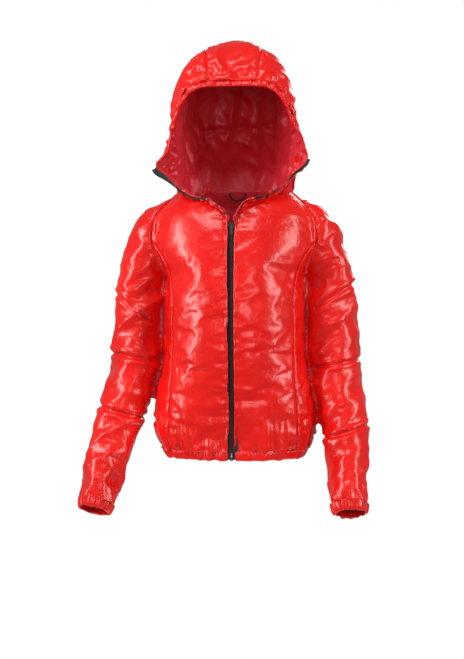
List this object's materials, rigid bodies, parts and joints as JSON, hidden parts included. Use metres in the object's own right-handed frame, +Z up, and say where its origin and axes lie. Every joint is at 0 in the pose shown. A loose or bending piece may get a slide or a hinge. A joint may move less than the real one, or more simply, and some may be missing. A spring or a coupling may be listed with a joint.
{
  "type": "ski jacket",
  "caption": "Hooded padded jacket with a front zip, raglan sleeves and elastic hem, cuffs and hood edge.",
  "frame": {"origin": "middle of the neck opening, level with the nape seam", "axes": "+Z up along the body, the zip faces -Y, +X to the wearer's left"},
  "size_m": [0.6451, 0.2679, 1.0805],
  "materials": {
    "shell_cloth": "glossy thin nylon, fine crinkles",
    "lining_cloth": "thin satin lining",
    "wadding": "soft polyester fill",
    "elastic": "flat knitted elastic",
    "black_tape": "woven tape, matte",
    "black_plastic": "moulded, satin"
  },
  "bodies": {
    "torso": {"back": "shell_cloth", "hem_casing": "shell_cloth", "front_left": "shell_cloth", "side_panel_left": "shell_cloth", "sleeve_cap_left": "shell_cloth", "collar_flap_left": "shell_cloth", "front_right": "shell_cloth", "side_panel_right": "shell_cloth", "sleeve_cap_right": "shell_cloth", "collar_flap_right": "shell_cloth", "lining_back": "lining_cloth", "wind_guard": "lining_cloth", "lining_front_left": "lining_cloth", "lining_sleeve_cap_left": "lining_cloth", "collar_flap_lining_left": "lining_cloth", "lining_front_right": "lining_cloth", "lining_sleeve_cap_right": "lining_cloth", "collar_flap_lining_right": "lining_cloth", "wadding_back": "wadding", "wadding_front_left": "wadding", "wadding_sleeve_cap_left": "wadding", "wadding_front_right": "wadding", "wadding_sleeve_cap_right": "wadding", "hem_elastic": "elastic", "hanger_loop": "black_tape", "zip_tape_left": "black_tape", "collar_zip_tape_left": "black_tape", "zip_tape_right": "black_tape", "collar_zip_tape_right": "black_tape", "zip_retainer_box": "black_plastic", "zip_pin": "black_plastic", "zip_chain_left": "black_plastic", "zip_top_stop_left": "black_plastic", "zip_chain_right": "black_plastic", "zip_top_stop_right": "black_plastic"},
    "hood": {"hood_centre": "shell_cloth", "hood_side_left": "shell_cloth", "hood_side_right": "shell_cloth", "wadding_hood": "wadding", "lining_hood": "lining_cloth", "brim_casing": "shell_cloth", "brim_elastic": "elastic"},
    "arm_left": {"sleeve_left": "shell_cloth", "wadding_sleeve_left": "wadding", "lining_sleeve_left": "lining_cloth", "cuff_casing_left": "shell_cloth", "cuff_elastic_left": "elastic"},
    "arm_right": {"sleeve_right": "shell_cloth", "wadding_sleeve_right": "wadding", "lining_sleeve_right": "lining_cloth", "cuff_casing_right": "shell_cloth", "cuff_elastic_right": "elastic"},
    "slider": {"zip_slider": "black_plastic"},
    "pull": {"zip_pull": "black_plastic"}
  },
  "joints": [
    {"name": "hood_tilt", "type": "hinge", "parent": "torso", "child": "hood", "pos_m": [0, 0.06854, 0.00785], "axis": [1, 0, 0], "range_deg": [-85, 0]},
    {"name": "sleeve_lift_left", "type": "hinge", "parent": "torso", "child": "arm_left", "pos_m": [0.185, 0, -0.085], "axis": [0, -1, 0], "range_deg": [0, 60]},
    {"name": "sleeve_lift_right", "type": "hinge", "parent": "torso", "child": "arm_right", "pos_m": [-0.185, 0, -0.085], "axis": [0, 1, 0], "range_deg": [0, 60]},
    {"name": "zip_slide", "type": "slide", "parent": "torso", "child": "slider", "axis": [0, 0, -1], "range_m": [0, 0.485]},
    {"name": "pull_swing", "type": "hinge", "parent": "slider", "child": "pull", "pos_m": [0, -0.11991, -0.0908], "axis": [1, 0, 0], "range_deg": [-165, 0]}
  ]
}
